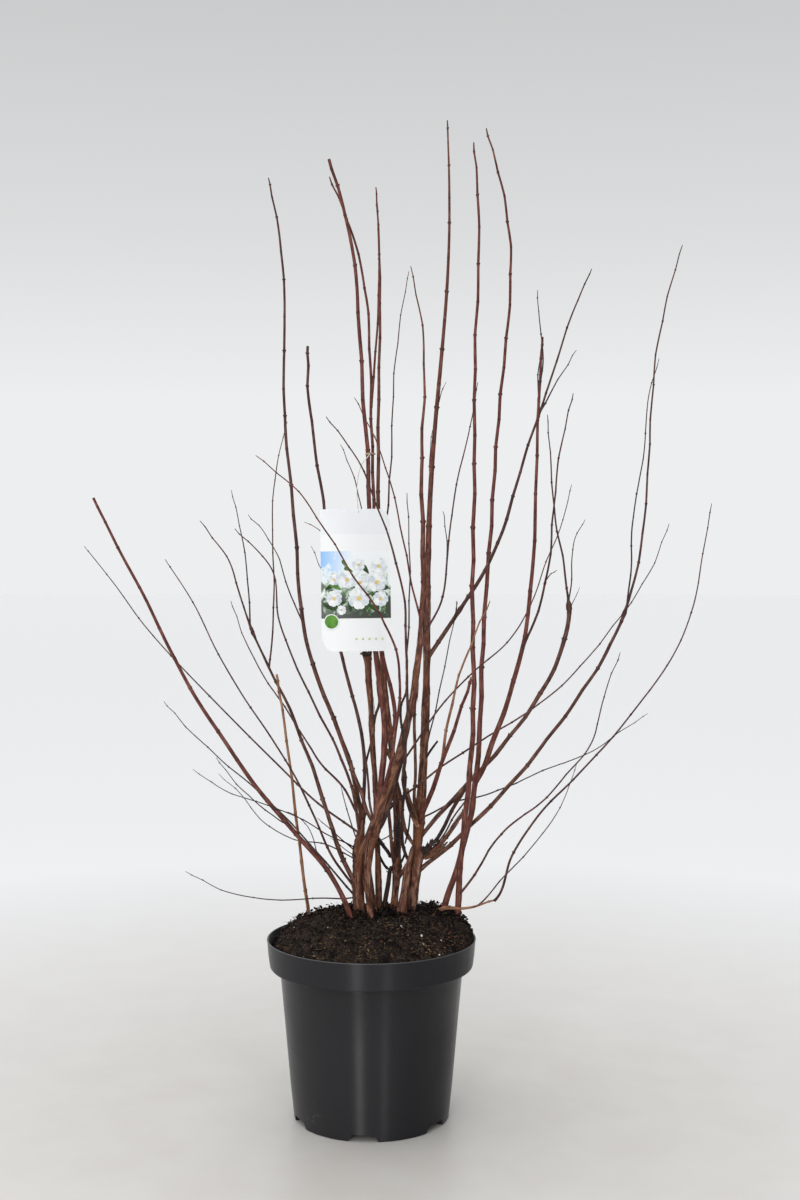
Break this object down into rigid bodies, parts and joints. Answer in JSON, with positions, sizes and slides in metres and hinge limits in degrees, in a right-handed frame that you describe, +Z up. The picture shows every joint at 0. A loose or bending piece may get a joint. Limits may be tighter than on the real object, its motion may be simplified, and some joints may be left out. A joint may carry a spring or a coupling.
{
  "type": "potted mock orange shrub",
  "caption": "Bare winter mock orange: a many-stemmed shrub of slim upright and arching canes growing from a round black nursery pot, with a blank hanging label.",
  "frame": {"origin": "middle of the pot's flat underside, on the surface that the pot stands on", "axes": "+Z up along the pot's axis, -Y towards the front of the shrub, where the label faces, +X to the right"},
  "size_m": [0.8964, 0.5116, 1.4455],
  "materials": {
    "pot": "satin black polypropylene",
    "soil": "crumbly dark peat compost with bark chips",
    "label_card": null,
    "label_tie": "soft cream plastic",
    "bark_old": "cinnamon brown bark, peeling in long strips",
    "bark_young": "smooth, slightly glossy reddish brown bark",
    "bark_twig": "smooth grey-brown bark of fine twigs",
    "bark_tan": "light orange-brown bark"
  },
  "bodies": {
    "root": {"pot": "pot", "soil": "soil", "label_card": "label_card", "label_tie": "label_tie", "stem_left": "bark_old", "stem_centre": "bark_old", "stem_right": "bark_old", "stem_inner": "bark_old", "stem_back": "bark_old", "stem_short": "bark_old", "stem_outer_left": "bark_old", "stem_tan_left": "bark_tan", "stem_red_front": "bark_young", "stem_red_back": "bark_young", "runner": "bark_tan", "cane_cut_tall": "bark_young", "cane_twin": "bark_young", "cane_twin_fork": "bark_young", "cane_fine_back": "bark_young", "cane_fine_left": "bark_young", "cane_fine_right": "bark_young", "twig_fine_right": "bark_twig", "cane_dark_front": "bark_young", "twig_dark_front": "bark_twig", "cane_card_front": "bark_young", "twig_card_back": "bark_twig", "cane_cut_right": "bark_young", "twig_cut_right": "bark_twig", "cane_front_right": "bark_young", "cane_upper_right": "bark_young", "twig_upper_right": "bark_twig", "cane_back_right": "bark_young", "twig_back_right": "bark_twig", "cane_high_right": "bark_young", "twig_high_right": "bark_twig", "cane_long_back": "bark_young", "cane_long_low": "bark_young", "cane_outer_right": "bark_young", "cane_low_front": "bark_young", "cane_low_back": "bark_young", "cane_low_right": "bark_young", "cane_red_short": "bark_young", "cane_tan_short": "bark_tan", "twig_inner_right": "bark_twig", "cane_tall_left": "bark_young", "twig_tall_left": "bark_twig", "cane_cut_left": "bark_young", "twig_cut_left": "bark_twig", "cane_front_left": "bark_young", "cane_back_left": "bark_young", "cane_thick_left": "bark_young", "twig_thick_left": "bark_twig", "cane_upright_left": "bark_young", "cane_outer_left": "bark_young", "cane_low_left": "bark_young", "cane_low_back_left": "bark_young", "wisp_front_left": "bark_twig", "wisp_outer_left": "bark_twig", "wisp_back_left": "bark_twig", "wisp_low_left": "bark_twig"}
  },
  "joints": []
}
